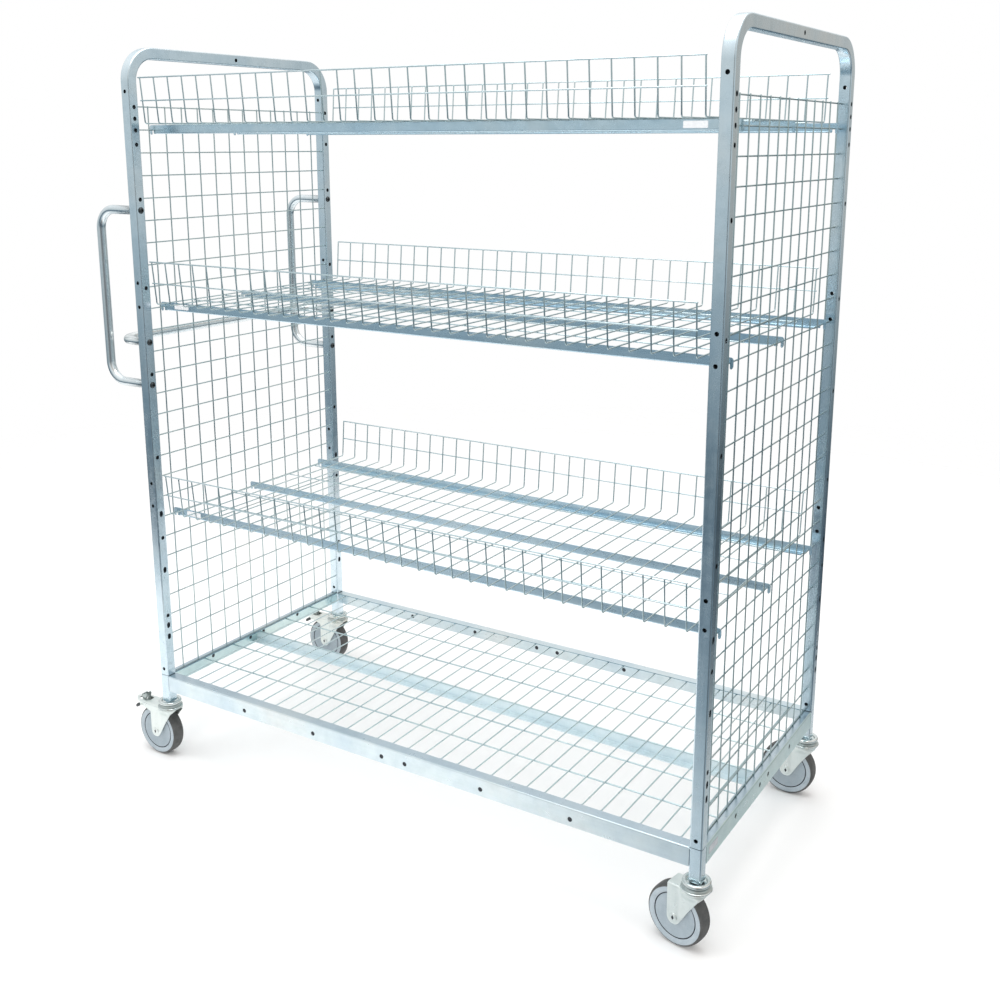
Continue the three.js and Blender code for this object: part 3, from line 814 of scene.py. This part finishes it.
# ---------------------------------------------------------------- handles
handle_end = -HALF
TUBE_END = [(0.0, 1.16), (1.4, 1.10), (2.6, 1.0)]
for where, y in POST_Y.items():
    corners = [
        (handle_end, y, LOOP_Z[0]), (-LOOP_REACH, y, LOOP_Z[0]),
        (-LOOP_REACH, y, LOOP_Z[1]), (handle_end, y, LOOP_Z[1]),
    ]
    loop = sweep(Shape(), ends(bent(corners, HANDLE_BEND, 14), TUBE_END), circle(TUBE_R, 28), Y)
    make(
        f"{where}_loop_handle_tube", loop, [f"{where}_loop_handle"], "trolley", [tube_zinc],
        sharp=50,
    )
corners = [
    (handle_end, POST_Y["front"], PUSH_Z), (-PUSH_REACH, POST_Y["front"], PUSH_Z),
    (-PUSH_REACH, POST_Y["rear"], PUSH_Z), (handle_end, POST_Y["rear"], PUSH_Z),
]
push = sweep(Shape(), ends(bent(corners, HANDLE_BEND, 14), TUBE_END), circle(TUBE_R, 28), Z)
make("push_bar_tube", push, ["push_bar"], "trolley", [tube_zinc], sharp=50)

HEAD = [
    (0.0, 4.2), (2.6, 4.1), (4.6, 3.7), (6.0, 2.6), (6.6, 1.3), (7.2, 1.2), (7.3, 0.2),
    (6.9, 0.0), (0.0, 0.0),
]
SOCKET_R, SOCKET_FLOOR = 2.9, 1.4
for where, y in POST_Y.items():
    for spot, z in (("lower", LOOP_Z[0]), ("push", PUSH_Z), ("upper", LOOP_Z[1])):
        bolt = Shape().join(lathe(HEAD, 24, "x"), Matrix.Translation((HALF, y, z)))
        hexagon = [(y + a, z + b) for a, b in circle(SOCKET_R, 6)]
        dent = prism(Shape(), hexagon, "yz", HALF + SOCKET_FLOOR, 4.0)
        make(
            f"{where}_{spot}_bolt_head", bolt, [f"{where}_{spot}_handle_bolt"], "trolley",
            [bolt_black], cut=dent,
        )

# ---------------------------------------------------------------- casters
# heights from the floor, X and Y from the swivel axis, the wheel trailing at -X
CROWN = 132.0  # top of the fork
FORK_W = 20.5  # outer face of a fork side
PLATE = 2.5  # thickness of the fork
DISC = 30.5  # radius of the crown's disc
BEND_R = 4.5  # outer radius of the fork's bends
AXLE_X = -36.0
FOOT_R = 15.0  # round foot of a fork side
WHEEL_Z = 62.5
PIN_X, PIN_Z = -84.0, 122.0  # pin of the brake pedal
LEG_FOOT = 148.0
SIDE_END, BEND_END = 0.62, 0.76  # where the side and the bend end along the half section

RACEWAY = [
    (0.0, 131.0), (10.0, 130.0), (26.0, 131.6), (29.4, 132.0), (30.2, 132.9), (30.0, 134.2),
    (28.8, 135.2), (26.6, 135.7), (24.4, 136.8), (23.6, 138.6), (23.7, 140.6), (24.8, 142.2),
    (26.4, 143.2), (27.5, 144.6), (27.8, 146.6), (27.2, 148.6), (25.4, 150.0), (22.6, 150.4),
    (20.6, 149.6), (19.6, 147.6), (19.2, 145.0), (18.0, 144.2), (0.0, 144.0),
]


def half_width(x):
    """Half width of the fork's crown along its length: a disc running into the plates."""
    disc = math.sqrt(max(0.0, DISC**2 - x**2))
    if x > 0:
        return disc
    return max(FORK_W, disc)


def front_edge(z):
    """Front edge of the fork's side: round foot, then a hollow slope to the crown."""
    tangent = WHEEL_Z - 8.5
    if z < tangent:
        return AXLE_X + math.sqrt(max(0.0, FOOT_R**2 - (WHEEL_Z - z) ** 2))
    t = (z - tangent) / (CROWN - BEND_R - tangent)
    return -23.6 + 43.0 * t + 9.2 * t**4


def rear_edge(z):
    """Rear edge of the fork's side: round foot, then nearly upright."""
    if z < WHEEL_Z:
        return AXLE_X - math.sqrt(max(0.0, FOOT_R**2 - (WHEEL_Z - z) ** 2))
    return AXLE_X - FOOT_R - 1.0 * (z - WHEEL_Z) / (CROWN - WHEEL_Z)


def fork_point(v, u):
    """Fork surface: v runs from one side's foot over the crown to the other's, u rear to front."""
    side = 1 if v < 0.5 else -1
    w = min(v, 1 - v) * 2
    if w <= SIDE_END:
        t = w / SIDE_END
        z = WHEEL_Z - FOOT_R + 0.25 + (CROWN - BEND_R - WHEEL_Z + FOOT_R - 0.25) * t**1.35
        x = rear_edge(z) + (front_edge(z) - rear_edge(z)) * u
        flare = (half_width(x) - FORK_W) * step(z, 110, CROWN - BEND_R)
        proud = 1.0 - step(x, -31.0, -26.0) * step(z, 56, 66)
        y = FORK_W + flare + 1.4 * (proud - 1.0) * (1 - step(z, 112, 122))
        return (x, side * y, z)
    x = rear_edge(CROWN) + (front_edge(CROWN - BEND_R) - rear_edge(CROWN)) * u
    wide = half_width(x)
    if w <= BEND_END:
        a = math.radians(90 * (w - SIDE_END) / (BEND_END - SIDE_END))
        return (x, side * (wide - BEND_R * (1 - math.cos(a))), CROWN - BEND_R * (1 - math.sin(a)))
    return (x, side * (wide - BEND_R) * (1 - (w - BEND_END) / (1 - BEND_END)), CROWN)


def shelf_point(v, u):
    """The braked fork's crown running on rearwards as a rounded shelf with a turned-down rim."""
    x = -48.0 - 66.0 * u
    wide = 20.4 * math.sqrt(max(0.0, 1 - (max(0.0, -58.0 - x) / 56.3) ** 2)) + 0.4
    low = 107.0 + 17.0 * math.sqrt(u)
    side = 1 if v < 0.5 else -1
    w = min(v, 1 - v) * 2
    bend = min(BEND_R, wide * 0.45)
    if w <= 0.3:
        return (x, side * wide, low + (CROWN - bend - low) * w / 0.3)
    if w <= 0.6:
        a = math.radians(90 * (w - 0.3) / 0.3)
        return (x, side * (wide - bend * (1 - math.cos(a))), CROWN - bend * (1 - math.sin(a)))
    return (x, side * (wide - bend) * (1 - (w - 0.6) / 0.4), CROWN)


def pressed(name, shape, cut=None):
    """A pressed sheet: thickness inwards, then one level of subdivision."""
    obj = to_object(name, shape)
    top = max(obj.data.polygons, key=lambda p: p.center.z)
    if top.normal.z < 0:
        obj.data.flip_normals()
    modify(obj, "SOLIDIFY", thickness=PLATE / MM, offset=-1.0, use_even_offset=True)
    modify(obj, "SUBSURF", levels=1, render_levels=1)
    if cut:
        boolean(obj, cut)
    return obj


def placed(shape, matrix):
    return Shape().join(shape, matrix)


HUB = [
    (4.0, -17.6), (12.0, -17.6), (14.5, -16.6), (16.5, -14.2), (20.0, -13.4), (32.0, -13.8),
    (42.0, -14.6), (43.8, -14.8), (44.6, -13.9), (45.0, -11.5), (46.2, -11.5),
    (46.2, 11.5), (45.0, 11.5), (44.6, 13.9), (43.8, 14.8), (42.0, 14.6), (32.0, 13.8),
    (20.0, 13.4), (16.5, 14.2), (14.5, 16.6), (12.0, 17.6), (4.0, 17.6), (4.0, -17.6),
]
TYRE = [
    (45.6, -11.2), (46.3, -14.4), (47.2, -15.2), (50.5, -15.8), (54.5, -16.1), (57.2, -15.9),
    (59.6, -14.7), (61.2, -12.6), (62.1, -9.6), (62.5, -5.0), (62.5, 5.0), (62.1, 9.6),
    (61.2, 12.6), (59.6, 14.7), (57.2, 15.9), (54.5, 16.1), (50.5, 15.8), (47.2, 15.2),
    (46.3, 14.4), (45.6, 11.2), (45.6, -11.2),
]
RIVET = [
    (0.0, 22.6), (4.4, 22.5), (7.2, 22.0), (8.2, 21.2), (8.4, 20.4), (3.6, 20.2),
    (3.6, -20.2), (8.4, -20.4), (8.2, -21.2), (7.2, -22.0), (4.4, -22.5), (0.0, -22.6),
]


def waist_slot(i):
    """The raceway's dull waist."""
    return 1 if 6 <= i <= 10 else 0


def hub_slot(i):
    """The groove at each edge of the hub, drawn in painted shade."""
    return 1 if i in (8, 9, 11, 12) else 0


def tyre_slot(i):
    """Pale side rings, a groove inside each drawn in painted shade, and the tread."""
    if i in (0, 19):
        return 2
    return 0 if i in (1, 2, 3, 4, 15, 16, 17, 18) else 1


def at_pin(points):
    return [(PIN_X + a, PIN_Z + b) for a, b in points]


DIAMOND = [(0.0, 5.0), (3.0, 0.0), (0.0, -5.0), (-3.0, 0.0)]
PIN = [(0, 21.5), (2.0, 21.5), (2.4, 21.0), (2.4, -21.0), (2.0, -21.5), (0, -21.5)]
BARREL = [(0, 16.5), (4.6, 16.5), (5.2, 15.9), (5.2, -15.9), (4.6, -16.5), (0, -16.5)]
TAB = at_pin([
    (4, 3), (6, 12), (9.5, 23), (6, 27), (1, 22), (-4, 21), (-7, 23), (-9, 17), (-6, 9), (-4, 3),
    (0, 0),
])
CAP = at_pin([(-8.6, 16.5), (-6.6, 16), (-4.6, 21.8), (-6.8, 22.8)])
LEVER = at_pin([
    (3, -1), (-4, 4), (-16, -3), (-28, -10), (-32, -14.5), (-32, -19.5), (-27, -19), (-14, -11),
    (-3, -4.5),
])


leg_outer = rounded(POST, POST, 3.0, 3)
leg_inner = rounded(POST - 2 * WALL, POST - 2 * WALL, 1.2, 3)
for corner in ("front_left", "front_right", "rear_left", "rear_right"):
    lo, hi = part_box(f"{corner}_caster_raceway")
    axis = (lo + hi) / 2 - ORIGIN
    ax, ay = axis.x * MM, axis.y * MM
    wlo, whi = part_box(f"{corner}_wheel_hub")
    hub = (wlo + whi) / 2 - ORIGIN
    yaw = math.atan2(ay - hub.y * MM, ax - hub.x * MM)
    braked = corner.endswith("left")
    pivot = Matrix.Translation((ax, ay, 0)) @ Matrix.Rotation(yaw, 4, "Z")
    wheel = pivot @ Matrix.Translation((AXLE_X, 0, WHEEL_Z))
    swivel, spin = f"{corner}_swivel", f"{corner}_wheel"

    height = bent([(ax, ay, LEG_FOOT), (ax, ay, RAIL_TOP + 0.2)])
    leg = tube(Shape(), height, leg_outer, leg_inner, X)
    # the leg's inner skin and the spigot in the joint gap are drawn in painted shade
    spigot = rounded(POST - 2.4, POST - 2.4, 2.4, 3)
    prism(leg, [(ax + a, ay + b) for a, b in spigot], "xy", RAIL_TOP - 1.0, JOINT + 3.0, slot=1)
    make(
        f"{corner}_leg_stub", leg, [f"{corner}_leg"], "trolley", [post_zinc, bore_painted_shade],
        weighted=True,
    )

    cup = placed(lathe(RACEWAY, 48, slot_of=waist_slot), Matrix.Translation((ax, ay, 0)))
    make(
        f"{corner}_raceway_cup", cup, [f"{corner}_caster_raceway"], "trolley",
        [cup_zinc, lever_zinc], sharp=50,
    )

    sheet = pressed("fork", placed(grid(49, 21, fork_point), pivot))
    if braked:
        window = prism(Shape(), [(PIN_X + a, b) for a, b in rounded(36, 22, 6)], "xy", 120.0, 20.0)
        rear = pressed("shelf", placed(grid(25, 25, shelf_point), pivot), placed(window, pivot))
        pin = placed(lathe(PIN, 16, "y"), pivot @ Matrix.Translation((PIN_X, 0, PIN_Z)))
        sheet = merge(sheet, rear, to_object("pin", pin))
    make(
        f"{corner}_fork_pressing", sheet, [f"{corner}_caster_fork"], swivel, [fork_zinc],
        sharp=55,
    )

    rivet = lathe(RIVET, 24, "y")
    # a flat diamond of painted shade on each end of the rivet
    for s in (-1, 1):
        prism(rivet, DIAMOND, "xz", s * 22.5 - 0.25, 0.5, slot=1)
    make(
        f"{corner}_axle_rivet", placed(rivet, wheel), [f"{corner}_caster_axle"], swivel,
        [fork_zinc, groove_painted_shade], sharp=50,
    )

    disc = lathe(HUB, 72, "y", hub_slot)
    make(
        f"{corner}_wheel_disc", placed(disc, wheel), [f"{corner}_wheel_hub"], spin,
        [wheel_grey, groove_painted_shade],
    )
    band = lathe(TYRE, 72, "y", tyre_slot)
    make(
        f"{corner}_tyre_ring", placed(band, wheel), [f"{corner}_wheel_tyre"], spin,
        [ring_grey, tread_grey, groove_painted_shade], sharp=60,
    )

    if braked:
        pedal = Shape()
        for y0 in (-8.0, 5.6):
            prism(pedal, TAB, "xz", y0, 2.4)
        prism(pedal, CAP, "xz", -8.0, 16.0)
        prism(pedal, LEVER, "xz", -9.0, 18.0, slot=1)
        barrel = lathe(BARREL, 24, "y")
        pedal.join(barrel, Matrix.Translation((PIN_X, 0, PIN_Z)))
        make(
            f"{corner}_brake_lever", placed(pedal, pivot), [f"{corner}_brake_pedal"],
            f"{corner}_brake", [lever_zinc, bolt_black], bevel=0.5, sharp=45,
        )

# ---------------------------------------------------------------- floor, light and camera
scene = bpy.context.scene
FLOOR_R, FLOOR_SIDES = 14.0, 64  # metres
floor_shape = bpy.data.meshes.new("floor")
rim = [(a, b, 0.0) for a, b in circle(FLOOR_R, FLOOR_SIDES)]
floor_shape.from_pydata(rim, [], [tuple(range(FLOOR_SIDES))])
floor = bpy.data.objects.new("floor", floor_shape)
scene.collection.objects.link(floor)
mat, tree, shader = material("floor_pale")
place = node(tree, "ShaderNodeTexCoord").outputs["Object"]
far = node(tree, "ShaderNodeVectorMath", {0: place}, operation="LENGTH").outputs["Value"]
shader.inputs["Base Color"].default_value = (0.93, 0.93, 0.93, 1)
shader.inputs["Roughness"].default_value = 0.9
shader.inputs["Specular IOR Level"].default_value = 0.1
# the floor fades out far away, and sooner in reflections, so metal mirrors the studio there
clear = node(tree, "ShaderNodeBsdfTransparent")
offset = node(tree, "ShaderNodeVectorMath", {0: place, 1: (-1.2, 0.6, 0.0)}, operation="DISTANCE")
card = spread(tree, offset.outputs["Value"], 1.8, 2.4, 0.0, 1.0)
glossy = node(tree, "ShaderNodeLightPath").outputs["Is Glossy Ray"]
fade = spread(tree, far, 1.6, 4.2, 0.0, 1.0)
gone = calc(tree, "MAXIMUM", fade, calc(tree, "MULTIPLY", card, glossy))
mix = node(tree, "ShaderNodeMixShader", {0: gone})
tree.links.new(shader.outputs[0], mix.inputs[1])
tree.links.new(clear.outputs[0], mix.inputs[2])
tree.links.new(mix.outputs[0], tree.nodes["Material Output"].inputs["Surface"])
floor.data.materials.append(mat)
floor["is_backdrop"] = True

world = bpy.data.worlds.new("studio")
scene.world = world
world.use_nodes = True
tree = world.node_tree
tree.nodes.clear()
direction = node(tree, "ShaderNodeTexCoord").outputs["Generated"]
parts = node(tree, "ShaderNodeSeparateXYZ", {0: direction}).outputs
# the studio by height: pale floor, a dark skirting, pale walls and a bright ceiling
left_of = calc(tree, "MINIMUM", calc(tree, "ADD", parts["X"], 0.37), 0.0)
lean = calc(tree, "MULTIPLY", left_of, 0.06)
height = spread(tree, calc(tree, "ADD", parts["Z"], lean), -1.0, 1.0, 0.0, 1.0)
STUDIO = [
    (0.00, (0.80, 0.84, 0.88)), (0.15, (0.74, 0.79, 0.84)), (0.25, (0.50, 0.59, 0.63)),
    (0.295, (0.20, 0.26, 0.31)), (0.345, (0.06, 0.10, 0.14)), (0.40, (0.22, 0.30, 0.35)),
    (0.452, (0.58, 0.65, 0.69)), (0.492, (0.72, 0.77, 0.79)), (0.53, (0.76, 0.80, 0.81)),
    (0.70, (0.94, 0.96, 0.97)), (0.85, (1.20, 1.20, 1.20)),
]
lit = ramp(tree, height, STUDIO)
into = spread(tree, parts["X"], 0.05, 0.40, 0.0, 1.0)
past = spread(tree, parts["X"], 0.45, 0.72, 1.0, 0.1)
warm_side = calc(tree, "MINIMUM", into, past)
lit = blend(tree, warm_side, lit, blend(tree, 1.0, lit, (0.66, 0.58, 0.52), "MULTIPLY"))
near = node(
    tree, "ShaderNodeVectorMath", {0: direction, 1: (0.62, -0.70, -0.36)}, operation="DISTANCE"
).outputs["Value"]
dark_corner = spread(tree, near, 0.25, 0.75, 0.75, 0.0)
lit = blend(tree, dark_corner, lit, (0.09, 0.11, 0.13))
soft = node(tree, "ShaderNodeBackground", {"Color": lit, "Strength": 0.95})
white = node(tree, "ShaderNodeBackground", {"Color": (1, 1, 1, 1), "Strength": 1.0})
seen = node(tree, "ShaderNodeLightPath").outputs["Is Camera Ray"]
both = node(tree, "ShaderNodeMixShader", {0: seen, 1: soft.outputs[0], 2: white.outputs[0]})
out = node(tree, "ShaderNodeOutputWorld")
tree.links.new(both.outputs[0], out.inputs["Surface"])


def lamp(name, at, aim, size, power, colour=(1, 1, 1), glossy=True):
    """A square area lamp, in metres and watts."""
    data = bpy.data.lights.new(name, "AREA")
    data.shape = "SQUARE"
    data.size = size
    data.energy = power
    data.color = colour
    obj = bpy.data.objects.new(name, data)
    obj.location = at
    obj.visible_glossy = glossy
    obj.rotation_mode = "QUATERNION"
    obj.rotation_quaternion = (Vector(aim) - Vector(at)).to_track_quat("-Z", "Y")
    scene.collection.objects.link(obj)


lamp("overhead", (0.2, -0.2, 3.8), (0, 0, 0.6), 2.6, 60)
lamp("left_fill", (-3.2, -2.6, 2.4), (0, 0, 0.8), 1.8, 28, (0.94, 0.98, 1.0), glossy=False)
lamp("front_fill", (0.8, -4.0, 1.4), (0, 0, 0.9), 2.0, 45, glossy=False)

CAMERA_AT = (1.4776, -2.1889, 1.4918)
CAMERA_TURN, CAMERA_DOWN = 31.90, 12.92  # degrees
LENS, SENSOR = 42.69, 36.0
data = bpy.data.cameras.new("camera")
data.lens = LENS
data.sensor_width = SENSOR
data.shift_y = -0.085
camera = bpy.data.objects.new("camera", data)
camera.location = CAMERA_AT
camera.rotation_euler = (math.radians(90 - CAMERA_DOWN), 0.0, math.radians(CAMERA_TURN))
scene.collection.objects.link(camera)
scene.camera = camera
scene.view_settings.view_transform = "Standard"

lo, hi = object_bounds()
